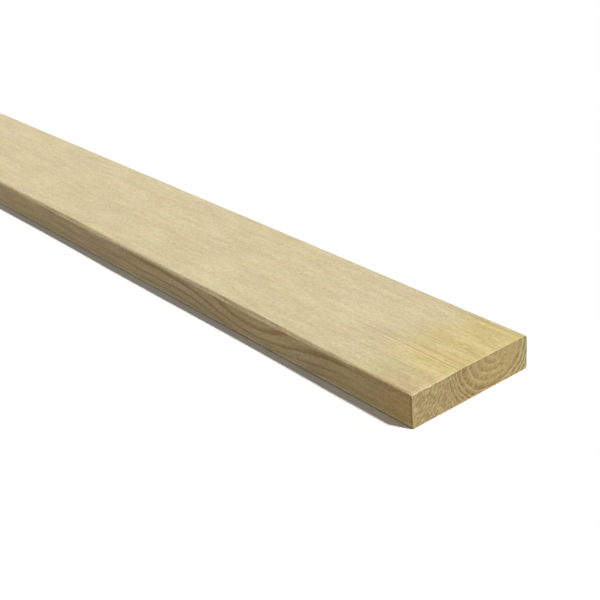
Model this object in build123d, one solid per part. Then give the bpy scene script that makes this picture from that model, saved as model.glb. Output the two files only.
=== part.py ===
from build123d import *
import os

# A treated softwood plank of 47 x 195 mm section, 2.4 m long, lying flat.
# Millimetres. X runs along the plank, Y across its width, Z through its thickness.
# The origin is under the middle of the plank, on the surface that it lies on.

# Stock section and length
length = 2400.0
width = 195.0
thickness = 47.0

# Long corners, rounded when the board was regularised
arris_radius = 4.0

# The log that the board was sawn from: its centre line, measured from two faces of the board
log_centre_from_front = 135.1
log_centre_height = -24.8

# The log's outside has two shallow hollows along the board's front top corner, which leave
# wane there. Each point is a distance from the cut end at +X, and how far the log falls short
# of the square corner at that place. The rounded corner itself falls short by 1.4 mm.
log_at_cut_end = (-60.0, 0.8)
near_hollow_start = (85.0, 1.2)
near_hollow_deepest = (300.0, 3.4)
near_hollow_end = (470.0, 2.3)
far_hollow_start = (640.0, 1.7)
far_hollow_deepest = (770.0, 3.0)
far_hollow_end = (1000.0, 1.1)
log_at_far_end = (2460.0, -6.0)


def squared_board():
    """The board with its four long corners rounded and its ends cut square."""
    board = Box(length, width, thickness, align=(Align.CENTER, Align.CENTER, Align.MIN))
    return fillet(board.edges().filter_by(Axis.X), arris_radius)


def log():
    """The log as a turned solid: an outline with the two hollows, once round the centre line."""
    corner_reach = (log_centre_from_front**2 + (thickness - log_centre_height) ** 2) ** 0.5

    def outside(place):
        distance, shortfall = place
        return (length / 2 - distance, corner_reach - shortfall)

    start, end = outside(log_at_cut_end), outside(log_at_far_end)
    near_hollow = map(outside, (near_hollow_start, near_hollow_deepest, near_hollow_end))
    far_hollow = map(outside, (far_hollow_start, far_hollow_deepest, far_hollow_end))
    outline = Line(start, outside(near_hollow_start))
    outline += ThreePointArc(*near_hollow)
    outline += Line(outside(near_hollow_end), outside(far_hollow_start))
    outline += ThreePointArc(*far_hollow)
    outline += Line(outside(far_hollow_end), end)
    outline += Polyline(end, (end[0], 0), (start[0], 0), start)
    turned = revolve(make_face(outline), Axis.X, 360)
    return Pos(0, log_centre_from_front - width / 2, log_centre_height) * turned


# The plank is the part of the squared board that the log fills
plank = squared_board() & log()

os.makedirs("parts", exist_ok=True)
export_step(plank, "parts/plank.step")
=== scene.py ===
import math
from types import SimpleNamespace

import bpy
import numpy as np
from mathutils import Matrix, Vector


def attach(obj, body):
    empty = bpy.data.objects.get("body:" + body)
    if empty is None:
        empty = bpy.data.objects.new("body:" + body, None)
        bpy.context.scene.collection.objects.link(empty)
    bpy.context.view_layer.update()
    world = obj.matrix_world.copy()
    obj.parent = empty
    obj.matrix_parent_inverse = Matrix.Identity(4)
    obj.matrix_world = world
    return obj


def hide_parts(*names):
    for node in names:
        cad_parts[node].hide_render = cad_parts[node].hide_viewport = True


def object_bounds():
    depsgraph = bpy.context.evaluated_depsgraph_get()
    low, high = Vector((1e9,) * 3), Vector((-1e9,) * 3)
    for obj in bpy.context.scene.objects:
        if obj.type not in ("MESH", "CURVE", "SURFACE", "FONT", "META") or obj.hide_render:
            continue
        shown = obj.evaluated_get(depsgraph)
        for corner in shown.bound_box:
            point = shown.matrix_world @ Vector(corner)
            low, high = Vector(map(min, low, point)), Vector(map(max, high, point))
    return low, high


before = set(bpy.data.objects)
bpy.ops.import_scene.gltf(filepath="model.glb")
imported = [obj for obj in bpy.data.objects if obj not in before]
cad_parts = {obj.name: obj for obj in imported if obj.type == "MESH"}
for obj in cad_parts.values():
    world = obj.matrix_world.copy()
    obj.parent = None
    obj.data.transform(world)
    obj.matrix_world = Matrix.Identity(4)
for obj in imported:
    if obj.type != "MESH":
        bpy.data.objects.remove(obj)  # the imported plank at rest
cadLow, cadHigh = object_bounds()
print("loaded the plank, box", [round(v, 4) for v in (*cadLow, *cadHigh)])

mm = 0.001  # metres
length, width, thickness = (round((cadHigh[i] - cadLow[i]) / mm, 3) for i in range(3))  # mm

# Camera

cameraView = {
    "azimuth": 53.17,  # degrees from straight at the front edge, towards the sawn end
    "elevation": 26.32,  # degrees above level
    "roll": -4.90,  # degrees
    "focalPixels": 1171,  # focal length in pixels of the picture
    "pictureSize": 600,  # pixels
    "cornerPixel": (412.8, 429.9),  # where the sawn end's lower front corner stands in the picture
    "cornerDepth": 1.3427,  # metres that this corner lies along the view
    "sensorWidth": 36.0,  # mm
    "farthest": 100.0,  # metres that the camera sees
}


def placeCamera(view, corner):
    # position = corner - right * sideways - up * upwards + back * depth, where the picture's right
    # and up are the level ones turned by the roll
    azimuth, elevation, roll = (math.radians(view[k]) for k in ("azimuth", "elevation", "roll"))
    back = Vector((math.sin(azimuth) * math.cos(elevation),
                   -math.cos(azimuth) * math.cos(elevation),
                   math.sin(elevation)))
    levelRight = (-back).cross(Vector((0, 0, 1))).normalized()
    levelUp = back.cross(levelRight)
    right = levelRight * math.cos(roll) + levelUp * math.sin(roll)
    up = levelUp * math.cos(roll) - levelRight * math.sin(roll)
    middle = view["pictureSize"] / 2
    perPixel = view["cornerDepth"] / view["focalPixels"]
    sideways = (view["cornerPixel"][0] - middle) * perPixel
    upwards = (middle - view["cornerPixel"][1]) * perPixel
    place = corner - right * sideways - up * upwards + back * view["cornerDepth"]
    turn = Matrix((right, up, back)).transposed().to_4x4()
    cameraData = bpy.data.cameras.new("camera")
    cameraData.sensor_width = view["sensorWidth"]
    cameraData.lens = view["focalPixels"] * view["sensorWidth"] / view["pictureSize"]
    cameraData.clip_end = view["farthest"]
    camera = bpy.data.objects.new("camera", cameraData)
    camera.matrix_world = Matrix.Translation(place) @ turn
    bpy.context.scene.collection.objects.link(camera)
    bpy.context.scene.camera = camera


placeCamera(cameraView, Vector((cadHigh.x, cadLow.y, cadLow.z)))
print("camera placed")

# Node maths


class Sock:
    # an output socket: Python's own operators on it add Math nodes
    def __init__(self, nodes, socket):
        self.nodes, self.socket = nodes, socket

    def math(self, operation, *others):
        return self.nodes.node("ShaderNodeMath", {"operation": operation}, dict(enumerate((self, *others))))

    def __add__(self, other):
        return self.math("ADD", other)

    def __sub__(self, other):
        return self.math("SUBTRACT", other)

    def __mul__(self, other):
        return self.math("MULTIPLY", other)

    def __truediv__(self, other):
        return self.math("DIVIDE", other)

    def __pow__(self, other):
        return self.math("POWER", other)

    def __neg__(self):
        return self * -1

    def __rsub__(self, other):
        return -self + other

    __radd__ = __add__
    __rmul__ = __mul__

    def falloff(self):
        # exp(-value): 1 where the value is 0, next to nothing where it passes 4
        return (-self).math("EXPONENT")

    def ramp(self, low, high, toLow=0.0, toHigh=1.0, smooth=True):
        # from low..high to toLow..toHigh, held at both ends; low may be the larger one
        return self.nodes.node("ShaderNodeMapRange",
                               {"interpolation_type": "SMOOTHSTEP" if smooth else "LINEAR"},
                               dict(enumerate((self, low, high, toLow, toHigh))))

    def band(self, start, full, fade, end):
        # 0 up to start, 1 from full to fade, 0 again past end
        return self.ramp(start, full) * self.ramp(fade, end, 1.0, 0.0)


class Nodes:
    # the node tree of a material or a world, with short ways to add what is used most
    def __init__(self, owner):
        owner.use_nodes = True
        self.owner, self.tree = owner, owner.node_tree
        self.tree.nodes.clear()

    def node(self, kind, settings=None, inputs=None, out=0):
        made = self.tree.nodes.new(kind)
        for key, value in (settings or {}).items():
            setattr(made, key, value)
        for key, value in (inputs or {}).items():
            if isinstance(value, Sock):
                self.tree.links.new(value.socket, made.inputs[key])
            else:
                made.inputs[key].default_value = value
        return Sock(self, made.outputs[out]) if len(made.outputs) else made

    def mix(self, factor, first, second, blend="MIX"):
        # colours: first where factor is 0, second where it is 1
        first, second = ((*c, 1.0) if isinstance(c, tuple) else c for c in (first, second))
        return self.node("ShaderNodeMix", {"data_type": "RGBA", "blend_type": blend, "clamp_factor": True},
                         {0: factor, 6: first, 7: second}, out=2)

    def tinted(self, tone, factor, tint):
        # tone * tint where factor is 1
        return self.mix(factor, tone, self.mix(1.0, tone, tint, "MULTIPLY"))

    def vector(self, x, y, z):
        return self.node("ShaderNodeCombineXYZ", {}, {0: x, 1: y, 2: z})

    def parts(self, vector):
        split = self.node("ShaderNodeSeparateXYZ", {}, {0: vector})
        return [Sock(self, output) for output in split.socket.node.outputs]

    def noise(self, vector, detail=2.0, roughness=0.5, distortion=0.0):
        return self.node("ShaderNodeTexNoise", {"noise_dimensions": "3D"},
                         {"Vector": vector, "Scale": 1.0, "Detail": detail, "Roughness": roughness,
                          "Distortion": distortion})

    def attribute(self, name, out="Fac"):
        settings = {"attribute_type": "GEOMETRY", "attribute_name": name}
        return self.node("ShaderNodeAttribute", settings, out=out)


# The plank's shape

plankShape = {
    "cornerRadius": 4.0,  # mm, the rounded long corners
    # the mesh
    "wideCells": 92,  # cells over the flat part of the top and of the underside
    "tallCells": 20,  # cells over the flat part of each edge
    "cornerCells": 4,  # cells from the middle of a rounded corner to its end
    "gather": 0.55,  # how much closer the flat parts' cells lie next to the corners
    "firstSections": (0, 0.25, 0.6, 1.1, 1.8, 2.8, 4.2, 6.4, 9.6),  # mm from either cut end
    "steadyFrom": 14.5,  # mm from either cut end, where the steady steps begin
    "nearStep": 5.6,  # mm between sections over the stretch that is seen close
    "nearTo": 1300.0,  # mm from the sawn end, where that stretch ends
    "farFrom": 1304.0,  # mm, the first section beyond it
    "farStep": 12.5,  # mm between sections beyond it
    "sharpAngle": 75.0,  # degrees between faces from which their edge stays sharp
    # the wane: each point of a hollow is a distance from the sawn end, and how far the log falls
    # short of the square corner there, both in mm
    "nearHollow": ((85.0, 1.2), (300.0, 3.4), (470.0, 2.3)),
    "farHollow": ((640.0, 1.7), (770.0, 3.0), (1000.0, 1.1)),
    "logAtEnd": (0.0, 0.8),
    "logFarAlong": (1600.0, 0.0),
    "logCentre": (37.6, -24.8),  # mm, the log's centre line in the plank's Y and Z
    "uneven": (0.35, 23.0, 7.0),  # mm: depth of its bumps, their length and their height
    "unevenMiddle": 0.35,  # the bumps' noise where the log is neither thinner nor thicker
    "unevenFrom": 1.3,  # mm that the log has to fall short before the bumps begin
    "softTop": 0.40,  # how much of the wane is left standing towards the top face, so that it rounds over
    "softOver": 3.5,  # mm from the front edge over which that grows
    "wornOffAt": 0.3,  # mm of wane that leaves nothing of the worn corner
    "waneFullAt": 0.35,  # mm of wane that has the wane's own tints in full
    # relief below the true face: depth in mm, the noise below which there is none, a lump's length
    # in mm, and how many lumps go round the section
    "slow": (0.22, 0.0, 170.0, 16),  # slow unevenness
    "ridges": (0.12, 0.0, 260.0, 128),  # long grain ridges
    "wear": (0.2925, 0.35, 34.0, 8),  # wear along the corners
    "nicks": (0.5, 0.8, 13.0, 8),  # small nicks in the corners
    # cut ends: even and uneven depth in mm, and a lump's length round the section
    "rims": (0.30, 0.35, 5.0),  # the sawn rims, drawn in
    "rimLength": 1.1,  # mm that they reach along the plank
    "wornTop": (1.38, 1.84, 9.0),  # the top's front third, worn back at both ends
    "wornTopWidth": (30.0, 75.0),  # mm from the front edge between which that fades
    "wornTopLength": 4.6,  # mm that it reaches along the plank
    "tornFine": (0.30, 1.9, 1.9),  # torn grain: depth in mm, and a lump's size in Y and Z
    "tornBroad": (0.35, 21.0, 13.0),
    "tornPattern": 40,  # lattice cells along, which picks the pattern
}

latticeSize = 512
latticeLayers = ("wane", "slow", "ridges", "wear", "nicks", "rims", "tornFine", "tornBroad")
rng = np.random.default_rng(47195)
lattice = dict(zip(latticeLayers, rng.random((len(latticeLayers), latticeSize, latticeSize))))


def smoothNoise(u, v, layer, period=latticeSize):
    # value noise, 0 to 1: random numbers on a square lattice, blended by 3t^2 - 2t^3 between its points
    u, v = np.broadcast_arrays(np.asarray(u, float), np.asarray(v, float))
    iu, iv = np.floor(u).astype(int), np.floor(v).astype(int)
    fu, fv = u - iu, v - iv
    fu, fv = fu * fu * (3 - 2 * fu), fv * fv * (3 - 2 * fv)

    def blendAlongU(row):
        left, right = (lattice[layer][column % latticeSize, row % period] for column in (iu, iu + 1))
        return left * (1 - fu) + right * fu

    return blendAlongU(iv) * (1 - fv) + blendAlongU(iv + 1) * fv


def logShortfall(distance, shape):
    # a parabola through three points of each hollow, and straight lines between the hollows and beyond
    hollows = (shape["nearHollow"], shape["farHollow"])
    joints = [hollow[i] for hollow in hollows for i in (0, -1)]
    shortfall = np.interp(distance, *np.array([shape["logAtEnd"], *joints, shape["logFarAlong"]]).T)
    for hollow in hollows:
        where, depth = np.array(hollow).T
        curve = np.polyval(np.polyfit(where, depth, 2), distance)
        inside = (distance >= where[0]) & (distance <= where[-1])
        shortfall = np.where(inside, curve, shortfall)
    return shortfall


def sideOfSection(run, cells, shape):
    # one side of a rounded rectangle from mid-corner to mid-corner: distance along, inset from the
    # square outline, and the outward direction as its parts along and out
    radius = shape["cornerRadius"]
    angle = np.linspace(math.pi / 4, 0, shape["cornerCells"] + 1)[:-1]
    t = np.linspace(0, 1, cells + 1)
    straight = radius + (run - 2 * radius) * (t - shape["gather"] * np.sin(2 * np.pi * t) / (2 * np.pi))
    cornerAlong = radius - radius * np.sin(angle)
    cornerInset = radius - radius * np.cos(angle)
    along = np.concatenate((cornerAlong, straight, run - cornerAlong[::-1]))
    inset = np.concatenate((cornerInset, 0 * t, cornerInset[::-1]))
    lean = np.concatenate((-np.sin(angle), 0 * t, np.sin(angle[::-1])))
    return along, inset, lean, np.sqrt(1 - lean**2)


def plankSection(shape):
    # the section as a closed loop, from the lower front corner along the underside, up the rear edge,
    # back over the top and down the front edge; each side leaves out its last point, the next one's first
    wide = sideOfSection(width, shape["wideCells"], shape)
    tall = sideOfSection(thickness, shape["tallCells"], shape)
    sides = (((0, 0), (1, 0), (0, -1), wide),  # corner where it starts, way along, way out, its points
             ((width, 0), (0, 1), (1, 0), tall),
             ((width, thickness), (-1, 0), (0, 1), wide),
             ((0, thickness), (0, -1), (-1, 0), tall))
    places, outwards = [], []
    for corner, ahead, out, (along, inset, lean, face) in sides:
        places.append((np.array(corner) + np.outer(along, ahead) - np.outer(inset, out))[:-1])
        outwards.append((np.outer(lean, ahead) + np.outer(face, out))[:-1])
    return np.concatenate(places), np.concatenate(outwards), len(wide[0]) - 1, len(tall[0]) - 1


def sectionStations(shape):
    # distances from the sawn end: close together at both cut ends, then steady steps
    first = np.array(shape["firstSections"])
    near = np.arange(shape["steadyFrom"], shape["nearTo"], shape["nearStep"])
    far = np.arange(shape["farFrom"], length - shape["steadyFrom"], shape["farStep"])
    return np.concatenate((first, near, far, length - first[::-1]))


def drawToLog(y, z, distance, loopAt, shape):
    # wane: a point outside the log is drawn straight towards its centre line, by its distance from that
    # line less the log's radius; the radius = the square corner's distance - shortfall - unevenness
    centreY, centreZ = shape["logCentre"]
    cornerReach = math.hypot(centreY + width / 2, thickness - centreZ)
    shortfall = logShortfall(distance, shape)
    bumpDepth, bumpLength, bumpHeight = shape["uneven"]
    bumps = smoothNoise(distance / bumpLength, loopAt / bumpHeight, "wane") - shape["unevenMiddle"]
    bumps = bumpDepth * bumps * np.clip(shortfall - shape["unevenFrom"], 0, 1)
    logRadius = cornerReach - shortfall - bumps
    fromCentre = np.hypot(y - centreY, z - centreZ)
    pulled = np.maximum(fromCentre - logRadius, 0) * (y < 0) * (z > thickness / 2)
    pulled = pulled * (1 - shape["softTop"] * np.clip((y + width / 2) / shape["softOver"], 0, 1))
    return y - (y - centreY) / fromCentre * pulled, z - (z - centreZ) / fromCentre * pulled, pulled


def faceRelief(distance, loopAt, perimeter, fromFront, outward, pulled, shape):
    # mm below the true face = slow unevenness + grain ridges + wear and nicks along the corners,
    # + the sawn rims' last millimetre, + the top's front third worn back at both ends
    def sunk(layer):
        # depth * the share of a smooth noise above its threshold
        depth, threshold, lump, count = shape[layer]
        noise = smoothNoise(distance / lump, loopAt / perimeter * count, layer, period=count)
        return depth * np.clip((noise - threshold) / (1 - threshold), 0, 1)

    def drawnIn(name, end):
        # even depth + uneven depth * smooth noise round the section
        even, uneven, lump = shape[name]
        return even + uneven * smoothNoise(loopAt / lump, end, "rims")

    outY, outZ = outward.T
    # 1 at the middle of a rounded corner, 0 on the flat faces
    cornerness = np.clip(1 - np.abs(np.abs(outY) - np.abs(outZ)) * 1.2, 0, 1)
    worn = cornerness * (sunk("wear") + sunk("nicks"))
    relief = sunk("slow") + sunk("ridges") + worn * np.clip(1 - pulled / shape["wornOffAt"], 0, 1)

    toEnd = np.minimum(distance, length - distance)
    rim = drawnIn("rims", distance > length / 2)
    relief = relief + rim * np.clip(1 - toEnd / shape["rimLength"], 0, 1) ** 2

    fullTo, fadedAt = shape["wornTopWidth"]
    onTop = np.clip(outZ, 0, 1) * np.clip((fadedAt - fromFront) / (fadedAt - fullTo), 0, 1)
    nearEnd = np.clip(1 - toEnd / shape["wornTopLength"], 0, 1) ** 1.4
    return relief + drawnIn("wornTop", 0) * onTop * nearEnd


def endFace(loop, wideCells, tallCells, sideVerts, firstId, outSign, shape):
    # a cut end as a grid of quads on its rim's own points: a point inside = the blend of the front and
    # rear rims + the blend of the lower and upper rims - the blend of the four corners, less torn grain
    grid = np.zeros((wideCells + 1, tallCells + 1), int)
    grid[:, 0] = loop[: wideCells + 1]
    grid[-1, :] = loop[wideCells: wideCells + tallCells + 1]
    grid[::-1, -1] = loop[wideCells + tallCells: 2 * wideCells + tallCells + 1]
    grid[0, ::-1] = np.append(loop[2 * wideCells + tallCells:], loop[0])
    rim = sideVerts[grid, 1:]
    u = (np.arange(wideCells + 1) / wideCells)[:, None, None]
    v = (np.arange(tallCells + 1) / tallCells)[None, :, None]
    blendU = (1 - u) * rim[:1] + u * rim[-1:]
    blendV = (1 - v) * rim[:, :1] + v * rim[:, -1:]
    corners = ((1 - u) * (1 - v) * rim[0, 0] + u * (1 - v) * rim[-1, 0]
               + (1 - u) * v * rim[0, -1] + u * v * rim[-1, -1])
    y, z = (blendU + blendV - corners)[1:-1, 1:-1].reshape(-1, 2).T

    def torn(layer):
        depth, lumpY, lumpZ = shape[layer]
        return depth * smoothNoise(y / lumpY + shape["tornPattern"], z / lumpZ, layer)

    inner = np.column_stack((outSign * (length / 2 - torn("tornFine") - torn("tornBroad")), y, z))
    grid[1:-1, 1:-1] = firstId + np.arange(len(inner)).reshape(wideCells - 1, tallCells - 1)
    quads = np.stack((grid[:-1, :-1], grid[1:, :-1], grid[1:, 1:], grid[:-1, 1:]), -1).reshape(-1, 4)
    return inner, quads if outSign > 0 else quads[:, ::-1]


def addAttribute(data, name, kind, domain, values):
    attribute = data.attributes.new(name, kind, domain)
    field = "vector" if kind == "FLOAT_VECTOR" else "value"
    attribute.data.foreach_set(field, np.asarray(values, np.float32))


def buildPlank(shape):
    # sides: the section's outline carried along the plank, less its wane and its relief
    outline, outward, wideCells, tallCells = plankSection(shape)
    distance = sectionStations(shape)[:, None]
    loopStep = np.linalg.norm(np.roll(outline, -1, 0) - outline, axis=1)
    loopAt = np.concatenate(([0], np.cumsum(loopStep)[:-1]))
    y = np.broadcast_to(outline[:, 0] - width / 2, (len(distance), len(outline)))
    z = np.broadcast_to(outline[:, 1], y.shape)
    y, z, pulled = drawToLog(y, z, distance, loopAt, shape)
    relief = faceRelief(distance, loopAt, loopStep.sum(), outline[:, 0], outward, pulled, shape)
    y = y - outward[:, 0] * relief
    z = np.maximum(z - outward[:, 1] * relief, 0)
    x = np.broadcast_to(length / 2 - distance, y.shape)
    sideVerts = np.stack((x, y, z), -1).reshape(-1, 3)
    ids = np.arange(len(sideVerts)).reshape(y.shape)
    here, ahead = ids[:-1], ids[1:]
    sideQuads = np.stack((here, ahead, np.roll(ahead, -1, 1), np.roll(here, -1, 1)), -1).reshape(-1, 4)

    # cut ends
    verts, faces = [sideVerts], [sideQuads]
    for loop, outSign in ((ids[0], 1), (ids[-1], -1)):
        firstId = sum(map(len, verts))
        inner, quads = endFace(loop, wideCells, tallCells, sideVerts, firstId, outSign, shape)
        verts.append(inner)
        faces.append(quads)

    points = np.concatenate(verts)
    quads = np.concatenate(faces)
    data = bpy.data.meshes.new("plankTimber")
    data.from_pydata(points * mm, [], quads.tolist())
    data.update()

    # attributes that the timber's material reads
    addAttribute(data, "endGrain", "FLOAT", "CORNER", np.repeat(np.arange(len(quads)) >= len(sideQuads), 4))
    waned = np.zeros(len(points))
    waned[:len(sideVerts)] = np.clip(pulled / shape["waneFullAt"], 0, 1).ravel()
    addAttribute(data, "wane", "FLOAT", "POINT", waned)
    data.shade_smooth()
    data.set_sharp_from_angle(angle=math.radians(shape["sharpAngle"]))
    normals = np.empty(len(data.loops) * 3, np.float32)
    data.corner_normals.foreach_get("vector", normals)
    addAttribute(data, "facing", "FLOAT_VECTOR", "CORNER", normals)

    plank = bpy.data.objects.new("plankTimber", data)
    bpy.context.scene.collection.objects.link(plank)
    print("plank built:", len(points), "points,", len(quads) * 2, "triangles")
    return plank


# The timber itself

timber = {
    "earlywood": (0.635, 0.517, 0.277),
    "latewood": (0.397, 0.281, 0.112),
    "roughness": 0.62,
    "bump": (0.5, 0.0004),  # strength, and the height in metres
    # the rings
    "pith": (39.2, 48.7),  # mm, the tree's centre in the plank's Y and Z: just above the top face
    "pithWander": ((0.8, 540.0), (1.2, 760.0)),  # mm in Y and in Z: how far it strays, swing / 2 pi
    "innerRings": (0.0, 8.0, 16.5, 28.5, 40.5, 51.5, 59.5, 65.0, 70.3),  # mm, their radii round the pith
    "ringRate": (0.085, 4.55e-6, 7.555),  # past them, rings = first * radius + second * radius^3 - third
    "bulge": (312.0, 75.0, 5.0),  # mm: where the rings swell, how far that spreads, and by how much
    "taper": 0.0005,  # mm of radius per mm along the plank
    "darkRing": (43.0, 47.5, 50.0, 52.0),  # mm of radius: start, full, fade and end of a ring on the ends
    "darkLines": ((46.6, 48.8, 49.5, 50.3), (57.0, 58.9, 59.5, 60.3)),  # and of two lines on the top
    # noises: lump sizes in mm along X, Y and Z, and the noise's own settings
    "grain": {
        "slow": dict(sizes=(330.0, 44.0, 44.0), detail=1.0),  # these three bend the rings
        "quick": dict(sizes=(85.0, 13.0, 13.0)),
        "rough": dict(sizes=(9.0, 4.2, 4.2)),
        "broken": dict(sizes=(20.0, 5.5, 5.5), roughness=0.6),  # breaks the rings on the ends
        "fibre": dict(sizes=(26.0, 0.9, 0.9), detail=3.0, roughness=0.6),
        "thread": dict(sizes=(110.0, 2.1, 2.1), roughness=0.6),  # long thin lines
        "streak": dict(sizes=(150.0, 4.5, 4.5)),
        "dash": dict(sizes=(11.0, 1.3, 1.3), detail=1.0),  # short dark and pale lines
        "mottle": dict(sizes=(5.2, 2.7, 2.7), roughness=0.6),
        "speck": dict(sizes=(3.0, 1.1, 1.1), detail=3.0, roughness=0.7),  # torn grain on the ends
        "fleck": dict(sizes=(4.0, 1.6, 1.6), detail=0.0),  # small pale flecks
        "blotch": dict(sizes=(60.0, 10.0, 9.0), detail=3.0, roughness=0.65),
        "cloud": dict(sizes=(120.0, 38.0, 38.0), detail=3.0),
        "tint": dict(sizes=(130.0, 18.0, 16.0), detail=3.0, shift=(7.0, 0.0, 0.0)),  # warm and cool
        "hue": dict(sizes=(70.0, 14.0, 12.0), shift=(0.0, 0.0, 5.0)),  # rosy and greenish
        "waneLine": dict(sizes=(60.0, 1.2, 1.2), detail=1.0),
    },
    # how far each noise lightens and darkens the faces
    "sideShade": {"fibre": 0.20, "streak": 0.09, "mottle": 0.46, "blotch": 0.36, "cloud": 0.22},
    "edgeShade": {"mottle": 0.22, "blotch": 0.26},  # on the long edges, added to the sides' own
    "endShade": {"speck": 0.22, "cloud": 0.12, "blotch": 0.34},
    "shadePowers": (1.10, 1.30),  # green and blue follow more strongly than red, so dark grain is warmer
    # saw strokes on the cut ends
    "sawSlant": (0.72, 0.69),  # their way across and down the end
    "strokeSize": (2.3, 7.0),  # mm across and along a stroke
    "hatchStep": 3.7,  # mm between the wavy lines
    "tornPlace": (50.0, 23.0),  # mm, Y and Z of a rougher place behind the middle
    # marks of its own: place and half size in mm, along from the sawn end and across
    "paleSpots": (((34.0, 25.6), (4.2, 2.2)), ((28.0, -68.0), (4.2, 1.9)), ((150.0, -76.5), (10.0, 1.8))),
    "rosySpot": ((205.0, -50.0), (14.0, 7.0)),
    "pinkStreak": ((243.0, 42.0), (18.0, 2.0)),  # along, and up the front edge
    # tints: what the grain's colour is multiplied by, and where; a few of them are painted light and shade,
    # as noted
    "tints": {
        "level": (0.985, 1.03, 1.165),  # top and underside, paler and less yellow: partly weathered wood, partly painted sheen
        "topNearEnd": (0.925, 0.895, 0.79),  # the top next to the sawn end, gone by about 130 mm
        "topNearEndRear": (1.095, 1.077, 0.875),  # and behind its front third
        "topGreenish": (0.94, 0.99, 0.92),  # a patch of its front third
        "topRearEdge": (0.91, 0.98, 1.04),
        "topFrontEdge": (1.06, 1.07, 1.10),
        "topRosyCorner": (1.0, 0.955, 0.90),
        "upright": (0.922, 0.871, 0.845),  # long edges, darker and browner: partly their own colour, partly painted shade of the front edge, which is in shade
        "edgeFurther": (1.07, 1.115, 1.21),  # past the first 90 to 210 mm
        "edgeFurthest": (0.965, 0.965, 0.975),  # past 330 to 400 mm
        "rosyHue": (1.02, 0.975, 1.03),
        "greenHue": (0.975, 1.0, 0.93),
        "paleCorner": (1.26, 1.30, 1.43),  # two stretches of the rounded top corners
        "cutEnd": (0.797, 0.744, 0.688),
        "endMiddle": (1.05, 1.05, 0.98),
        "endRear": (1.05, 1.065, 1.04),
        "endRearStrip": (0.99, 1.12, 1.25),
        # painted highlight along the end's front arris: over a strip, and more at the rim itself
        "endFrontStripHighlight": (1.09, 1.11, 1.15),
        "endFrontRimHighlight": (1.08, 1.09, 1.11),
        "sawGroove": (1.04, 0.985, 0.96),
        "fleck": (1.25, 1.28, 1.4),
        # the wane: partly its own paler bark-side wood, partly painted light on its facet
        "wane": (1.27, 1.31, 1.44),
        # painted light: the wane's upper part, where it rounds over to the top, lighter
        "waneTopPaintedLight": (1.20, 1.20, 1.16),
        "waneDarkLine": (0.87, 0.85, 0.83),
        "wanePaleLine": (1.12, 1.13, 1.15),
        "sapwood": (1.0, 1.06, 1.0),
        "warm": (1.02, 0.99, 0.93),
        "cool": (0.985, 1.005, 1.03),
        "paleSpots": (1.26, 1.26, 1.36),
        "rosySpot": (1.02, 0.965, 0.95),
        "pinkStreak": (1.07, 0.90, 0.93),
        "edgeNearEnd": (1.08, 0.975, 0.74),
        "edgeLastBit": (0.71, 0.71, 0.56),
        # painted bounce light from below on the lower part of the long edges, strongest on the lower
        # rounded corner
        "footPaintedLight": (1.16, 1.18, 1.24),
        "footCornerPaintedLight": (1.40, 1.46, 1.57),
    },
}


def timberPlaces(nodes):
    # where a point lies, in mm, and which kind of face it is on, as masks from 0 to 1
    place = SimpleNamespace()
    inMetres = nodes.node("ShaderNodeTexCoord", out="Object")
    inMm = nodes.node("ShaderNodeVectorMath", {"operation": "SCALE"}, {0: inMetres, "Scale": 1 / mm})
    place.x, place.y, place.z = nodes.parts(inMm)
    place.fromEnd = length / 2 - place.x
    place.toEnd = length / 2 - place.x.math("ABSOLUTE")  # to the nearer cut end
    acrossNormal, upNormal = nodes.parts(nodes.attribute("facing", "Vector"))[1:]
    onCut = nodes.attribute("endGrain")
    place.waned = nodes.attribute("wane")
    # level: top and underside; upright: long edges; end grain: the cut ends and their worn rims
    place.level = upNormal.math("ABSOLUTE").ramp(0.45, 0.85) * (1 - onCut)
    place.upright = acrossNormal.math("ABSOLUTE").ramp(0.30, 0.60) * (1 - onCut - place.level)
    place.sideGrain = place.level + place.upright
    place.endGrain = 1 - place.sideGrain
    return place


def timberGrain(nodes, place, look):
    # each noise reads the place divided by its lump sizes, plus its shift
    grain = SimpleNamespace()
    for name, spec in look["grain"].items():
        settings = dict(spec)
        sizes, shift = settings.pop("sizes"), settings.pop("shift", (0.0, 0.0, 0.0))
        scaled = [part / size for part, size in zip((place.x, place.y, place.z), sizes)]
        moved = [part + move if move else part for part, move in zip(scaled, shift)]
        setattr(grain, name, nodes.noise(nodes.vector(*moved), **settings))
    # the top's first stretch, with a ragged border
    grain.nearTop = (place.fromEnd + grain.blotch * 60.0).ramp(60.0, 165.0, 1.0, 0.0) * place.level
    return grain


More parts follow.
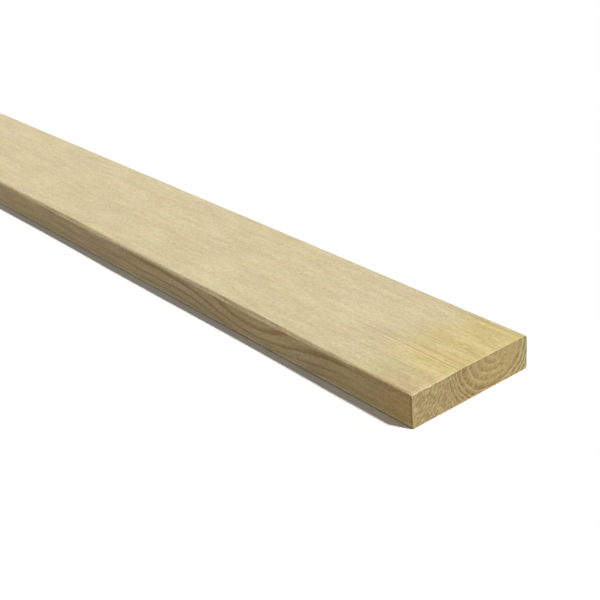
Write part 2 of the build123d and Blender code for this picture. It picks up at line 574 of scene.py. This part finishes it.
def timberRings(nodes, place, grain, look):
    # rings round the pith: the count of rings grows with the distance from the pith line, plus slow
    # wobble, less the bulge and the taper
    level, upright, endGrain, fromEnd = place.level, place.upright, place.endGrain, place.fromEnd
    ring = SimpleNamespace()
    (strayY, swingY), (strayZ, swingZ) = look["pithWander"]
    ring.offY = place.y - ((fromEnd / swingY).math("SINE") * strayY + look["pith"][0])
    offZ = place.z - ((fromEnd / swingZ).math("SINE") * strayZ + look["pith"][1])
    ring.radius = (ring.offY * ring.offY + offZ * offZ).math("SQRT")
    slow, quick, rough = grain.slow - 0.5, grain.quick - 0.5, grain.rough - 0.5
    wobble = slow * (level * 8.0 + 3.4) + quick * (level * 2.0 + 1.4)
    wobble = wobble + (rough * 3.4 + quick * 5.0) * endGrain
    bulgeAt, bulgeWidth, bulgeHeight = look["bulge"]
    ring.fromBulge = (fromEnd - bulgeAt) / bulgeWidth
    bulge = (ring.fromBulge * ring.fromBulge * 0.5).falloff() * bulgeHeight
    bulge = bulge * place.y.ramp(-width / 2, 0.0, 1.0, 0.0)
    trueRadius = ring.radius + wobble - bulge - fromEnd * look["taper"]
    # the edges' lines lie up to 1 mm further in near the sawn end
    trueRadius = trueRadius + fromEnd.ramp(220.0, 110.0) * upright
    # the rings are flatter under the pith
    fromPith = (place.y - 42.0) / 34.0
    trueRadius = trueRadius + (fromPith * fromPith).falloff() * place.z.ramp(34.0, 2.0) * 3.6
    # and on the ends wider apart on the pith's front side than on its rear side
    lean = ring.offY / (ring.radius + 1.0)
    shift = lean * lean * lean.ramp(-0.05, 0.05, 3.4, -1.7) * ring.radius.ramp(60.0, 80.0, 1.0, 0.0)
    ring.trueRadius = trueRadius - shift * endGrain

    linear, cubic, counted = look["ringRate"]
    radius = ring.trueRadius
    count = (radius * linear + radius * radius * radius * cubic - counted).math("MAXIMUM", 0.0)
    for inside, outside in zip(look["innerRings"], look["innerRings"][1:]):
        count = count + radius.ramp(inside, outside, smooth=False)
    phase = count.math("FRACT")
    ring.broad = phase.band(0.22, 0.75, 0.90, 1.0)
    ring.narrow = phase.band(0.50, 0.82, 0.88, 1.0)
    ring.crisp = phase.band(0.68, 0.88, 0.93, 1.0)
    ring.pale = phase.band(0.0, 0.08, 0.10, 0.24)
    ring.fine = (count * 3.0 + quick * 1.5).math("FRACT").band(0.45, 0.95, 0.95, 1.0)
    # each ring has its own strength
    number = count.math("FLOOR") - 0.5
    own = nodes.node("ShaderNodeTexWhiteNoise", {"noise_dimensions": "1D"}, {"W": number})
    ring.strength = own * (0.5 + endGrain * 0.45) + 0.55 - endGrain * 0.20
    # how well they show on the ends: weaker at the front, in broken arcs, and faint behind the pith
    behindPith = ring.offY.ramp(8.0, 22.0) * ring.radius.ramp(42.0, 36.0)
    ring.showEnd = place.y.ramp(-60.0, 5.0, 0.28, 1.0) * grain.broken.ramp(0.32, 0.62, 0.25, 1.30)
    ring.showEnd = ring.showEnd * (1 - behindPith * 0.6)
    return ring


def latewoodShare(place, grain, ring, look):
    # how much of the dark latewood shows: each kind of face has its own sharpness and strength of lines
    z, fromEnd, radius = place.z, place.fromEnd, ring.radius
    onEnd = ring.broad * radius.ramp(25.0, 38.0, 0.65, 1.0) + ring.crisp * radius.ramp(38.0, 25.0) * 0.3
    onEnd = onEnd * ring.showEnd * radius.ramp(36.0, 50.0, 0.5, 1.2)
    farAlong = (fromEnd + grain.blotch * 90.0).ramp(110.0, 250.0)
    onTop = ring.crisp * (1 - farAlong * 0.78) * grain.streak.ramp(0.35, 0.65, 0.25, 1.0)
    onTop = onTop * radius.ramp(36.0, 46.0, 0.4, 1.0)
    onEdge = ring.narrow * ring.fromBulge.math("ABSOLUTE").ramp(3.2, 4.8, 1.0, 0.30)
    onEdge = onEdge * grain.streak.ramp(0.2, 0.55, 0.6, 1.0) * z.ramp(6.0, 26.0, 0.65, 1.1)
    # on the edges they are weaker near the sawn end, most of all low down, and along the top corner
    onEdge = onEdge * (1 - fromEnd.ramp(190.0, 110.0) * z.ramp(33.0, 26.0) * 0.65)
    onEdge = onEdge * fromEnd.ramp(70.0, 135.0, 0.28, 1.0) * z.ramp(40.0, 43.0, 1.0, 0.45)
    rings = onEnd * place.endGrain * 0.80 + onTop * place.level * 0.42 + onEdge * place.upright
    late = rings * ring.strength * (1 - place.waned * 0.9)
    late = late + ring.trueRadius.band(*look["darkRing"]) * ring.showEnd * place.endGrain * 0.34
    darkLines = sum(ring.trueRadius.band(*line) for line in look["darkLines"])
    late = late + darkLines * (1 - farAlong) * place.level * 0.36
    return late + ring.fine * (place.upright * 0.10 + place.endGrain * 0.17 + place.level * 0.05)


def sawStrokes(nodes, place, grain, look):
    # slanting strokes and wavy lines, strongest towards the front edge and round one torn place
    slantY, slantZ = look["sawSlant"]
    across = place.y * slantY - place.z * slantZ
    along = place.y * slantZ + place.z * slantY
    strokeWidth, strokeLength = look["strokeSize"]
    depth = place.x / 40.0
    stroke = nodes.noise(nodes.vector(across / strokeWidth, along / strokeLength, depth), distortion=0.45)
    bend = nodes.noise(nodes.vector(across / 15.0, along / 15.0, depth), detail=1.0)
    wave = ((across / look["hatchStep"] + bend * 2.6) * math.tau).math("SINE")
    hatch = wave * stroke.ramp(0.3, 0.6, 0.25, 0.75)
    fromTornY, fromTornZ = place.y - look["tornPlace"][0], place.z - look["tornPlace"][1]
    torn = ((fromTornY * fromTornY + fromTornZ * fromTornZ) / 260.0).falloff()
    strength = (place.y + grain.tint * 40.0).ramp(-50.0, 20.0, 1.0, 0.12) + torn * 0.8
    return (stroke.ramp(0.34, 0.66) - 0.5 + hatch * 0.16) * strength


def timberShade(place, grain, ring, sawMark, look):
    # light and dark as a factor round 1: the noises' swings, short dashes, pale ring lines, saw strokes
    def swing(amounts):
        return sum((getattr(grain, name) - 0.5) * amount for name, amount in amounts.items())

    fromEnd = place.fromEnd
    # the long thin lines are strongest next to the sawn end and at the front
    lines = (fromEnd + grain.blotch * 50.0).ramp(95.0, 190.0, 0.42, 0.08)
    lines = lines * place.y.ramp(-12.0, 25.0, 1.0, 0.6)
    side = 1.0 + swing(look["sideShade"]) + swing(look["edgeShade"]) * place.upright
    side = side + (grain.thread - 0.5) * lines + (grain.hue - 0.5) * grain.nearTop * 0.34
    side = side - grain.dash.ramp(0.62, 0.74) * fromEnd.ramp(20.0, 60.0, 0.20, 0.10)
    side = side + grain.dash.ramp(0.36, 0.24) * 0.11
    end = 1.03 + swing(look["endShade"]) + sawMark * 0.54
    end = end + ring.pale * ring.showEnd * ring.radius.ramp(36.0, 50.0, 0.10, 0.24)
    return side * place.sideGrain + end * place.endGrain


# Where each tint lies, as masks from 0 to 1 under the tints' own names


def topMasks(place, grain):
    y, fromEnd = place.y, place.fromEnd
    nearTop, blotch = grain.nearTop, grain.blotch
    # two patches of the front third with ragged borders
    alongPatch, acrossPatch = fromEnd + blotch * 24.0, y + blotch * 16.0
    greenish = alongPatch.band(52.0, 72.0, 92.0, 112.0) * acrossPatch.ramp(-22.0, -34.0)
    rosy = alongPatch.ramp(58.0, 44.0) * acrossPatch.ramp(-26.0, -38.0)
    return {
        # top and underside paled: partly weathered wood, partly painted sheen
        "level": place.level,
        "topNearEnd": nearTop,
        "topNearEndRear": nearTop * (y + blotch * 20.0).ramp(-50.0, -10.0),
        "topGreenish": greenish * place.level * 0.5,
        "topRearEdge": nearTop * y.ramp(84.0, 92.0),
        "topFrontEdge": nearTop * y.ramp(-84.0, -94.0),
        "topRosyCorner": rosy * place.level * 0.7,
    }


def edgeMasks(place, grain):
    z, fromEnd, upright = place.z, place.fromEnd, place.upright
    rounded = place.sideGrain * (1 - place.level)
    rubbed = fromEnd.ramp(420.0, 520.0) + fromEnd.band(88.0, 108.0, 165.0, 190.0)
    return {
        # long edges darkened: partly their own colour, partly painted shade
        "upright": upright,
        "edgeFurther": upright * fromEnd.ramp(90.0, 210.0),
        "edgeFurthest": upright * fromEnd.ramp(330.0, 400.0),
        "rosyHue": (upright + place.level * 0.6) * grain.hue.ramp(0.50, 0.66),
        "greenHue": (upright + place.level * 0.6) * grain.hue.ramp(0.50, 0.34),
        "paleCorner": rubbed * (z + grain.blotch * 2.0).ramp(38.5, 42.0) * rounded * (1 - place.waned),
        "edgeNearEnd": place.toEnd.ramp(70.0, 15.0) * upright * grain.blotch.ramp(0.3, 0.6),
        "edgeLastBit": (place.toEnd - (grain.streak - 0.5) * 3.0).ramp(4.0, 1.6) * upright,
        # painted bounce light on the lower part of the edges and on the lower rounded corner
        "footPaintedLight": (z + grain.blotch * 6.0).ramp(13.0, 6.0) * upright,
        "footCornerPaintedLight": z.ramp(6.0, 3.6) * rounded,
    }


def endMasks(place, grain, sawMark):
    y, endGrain = place.y, place.endGrain
    return {
        "cutEnd": endGrain,
        "endMiddle": endGrain * y.ramp(-40.0, 15.0),
        "endRear": endGrain * y.ramp(5.0, 45.0),
        "endRearStrip": endGrain * (y + grain.blotch * 8.0).ramp(82.0, 88.0),
        # painted highlight along the end's front arris, a strip and its rim
        "endFrontStripHighlight": endGrain * y.ramp(-88.0, -94.5),
        "endFrontRimHighlight": endGrain * y.ramp(-94.5, -96.5),
        "sawGroove": endGrain * sawMark.ramp(0.0, -0.4),
        "fleck": grain.fleck.ramp(0.80, 0.86) * (endGrain + grain.nearTop),
    }


def waneMasks(place, grain):
    return {
        # the wane's own bark-side colour, with painted light on its facet
        "wane": place.waned * place.sideGrain,
        # painted light on the upper part of the wane
        "waneTopPaintedLight": place.waned * place.z.ramp(43.5, 46.0),
        "waneDarkLine": place.waned * grain.waneLine.ramp(0.54, 0.66),
        "wanePaleLine": place.waned * grain.waneLine.ramp(0.46, 0.34),
    }


def markMasks(place, grain, ring, look):
    def spot(u, v, where):
        # exp(-(du^2 + dv^2)): 1 at the middle, next to nothing beyond twice the half size
        (middleU, middleV), (sizeU, sizeV) = where
        du, dv = (u - middleU) / sizeU, (v - middleV) / sizeV
        return (du * du + dv * dv).falloff()

    y, fromEnd = place.y, place.fromEnd
    sapwood = (ring.trueRadius + grain.blotch * 30.0).ramp(62.0, 84.0) * grain.cloud.ramp(0.35, 0.7)
    return {
        "sapwood": sapwood * (0.4 + place.endGrain * 0.6),
        "warm": grain.tint.ramp(0.50, 0.70) * 0.9,
        "cool": grain.tint.ramp(0.50, 0.30) * 0.9,
        "paleSpots": sum(spot(fromEnd, y, where) for where in look["paleSpots"]) * place.level,
        "rosySpot": spot(fromEnd, y, look["rosySpot"]) * place.level,
        "pinkStreak": spot(fromEnd, place.z, look["pinkStreak"]) * y.ramp(-80.0, -90.0),
    }


def timberMaterial(look):
    nodes = Nodes(bpy.data.materials.new("plankTimber"))
    place = timberPlaces(nodes)
    grain = timberGrain(nodes, place, look)
    ring = timberRings(nodes, place, grain, look)
    late = latewoodShare(place, grain, ring, look)
    sawMark = sawStrokes(nodes, place, grain, look)
    shade = timberShade(place, grain, ring, sawMark, look)
    tone = nodes.mix(late, look["earlywood"], look["latewood"])
    powered = nodes.vector(shade, *(shade ** power for power in look["shadePowers"]))
    tone = nodes.mix(1.0, tone, powered, "MULTIPLY")
    masks = {**topMasks(place, grain), **edgeMasks(place, grain), **endMasks(place, grain, sawMark),
             **waneMasks(place, grain), **markMasks(place, grain, ring, look)}
    for name, tint in look["tints"].items():
        tone = nodes.tinted(tone, masks[name], tint)

    roughness = look["roughness"] + (grain.fibre - 0.5) * 0.2 - late * 0.08
    sideHeight = grain.fibre * 0.5 + grain.streak * 0.5 + late * 0.35
    endHeight = grain.speck + sawMark * 1.6 - late * 0.5
    height = sideHeight * place.sideGrain + endHeight * place.endGrain
    strength, distance = look["bump"]
    bump = nodes.node("ShaderNodeBump", {}, {"Strength": strength, "Distance": distance, "Height": height})
    finish = nodes.node("ShaderNodeBsdfPrincipled", {},
                        {"Base Color": tone, "Roughness": roughness, "Normal": bump})
    nodes.node("ShaderNodeOutputMaterial", {}, {"Surface": finish})
    return nodes.owner


plank = buildPlank(plankShape)
plank.data.materials.append(timberMaterial(timber))
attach(plank, "root")
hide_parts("plank")
print("timber finished")

# Floor, world and lamps

studio = {
    "floorSize": 24.0,  # metres
    "floorSeen": (1.0, 1.0, 1.0),  # the floor's colour to the camera
    "floorBounce": (0.33, 0.307, 0.270),  # and for the light that it throws back
    "worldSeen": 1.0,  # the white world's strength to the camera and in reflections
    "worldLight": 0.15,  # and as light
    "sunToward": (0.52, 0.24, 0.82),  # the way to the sun lamp
    "sunStrength": 3.30,
    "sunColour": (1.0, 0.997, 0.99),
    "sunAngle": 5.0,  # degrees
    "fillToward": (0.10, -1.0, 0.07),  # the way to a weak second lamp, low in front
    "fillStrength": 0.455,
    "fillColour": (1.0, 0.93, 0.82),
    "fillAngle": 12.0,  # degrees
}


def buildFloor(look):
    # a level square at height 0, white to the camera
    half = look["floorSize"] / 2
    corners = [(-half, -half, 0), (half, -half, 0), (half, half, 0), (-half, half, 0)]
    data = bpy.data.meshes.new("floor")
    data.from_pydata(corners, [], [(0, 1, 2, 3)])
    floor = bpy.data.objects.new("floor", data)
    bpy.context.scene.collection.objects.link(floor)
    nodes = Nodes(bpy.data.materials.new("paleFloor"))
    seen = nodes.node("ShaderNodeLightPath", out="Is Camera Ray")
    tone = nodes.mix(seen, look["floorBounce"], look["floorSeen"])
    finish = nodes.node("ShaderNodeBsdfDiffuse", {}, {"Color": tone})
    nodes.node("ShaderNodeOutputMaterial", {}, {"Surface": finish})
    data.materials.append(nodes.owner)


def buildWorld(look):
    nodes = Nodes(bpy.data.worlds.new("studio"))
    camera = nodes.node("ShaderNodeLightPath", out="Is Camera Ray")
    glossy = nodes.node("ShaderNodeLightPath", out="Is Glossy Ray")
    seen = camera.math("MAXIMUM", glossy)
    strength = seen.ramp(0.0, 1.0, look["worldLight"], look["worldSeen"], smooth=False)
    white = nodes.node("ShaderNodeBackground", {}, {"Color": (1, 1, 1, 1), "Strength": strength})
    nodes.node("ShaderNodeOutputWorld", {}, {"Surface": white})
    bpy.context.scene.world = nodes.owner


def placeLamp(name, look):
    lampData = bpy.data.lights.new(name, "SUN")
    lampData.energy = look[name + "Strength"]
    lampData.color = look[name + "Colour"]
    lampData.angle = math.radians(look[name + "Angle"])
    lamp = bpy.data.objects.new(name, lampData)
    lamp.rotation_euler = Vector(look[name + "Toward"]).to_track_quat("Z", "Y").to_euler()
    bpy.context.scene.collection.objects.link(lamp)


buildFloor(studio)
buildWorld(studio)
placeLamp("sun", studio)
placeLamp("fill", studio)
bpy.context.scene.view_settings.view_transform = "Standard"
print("studio ready")
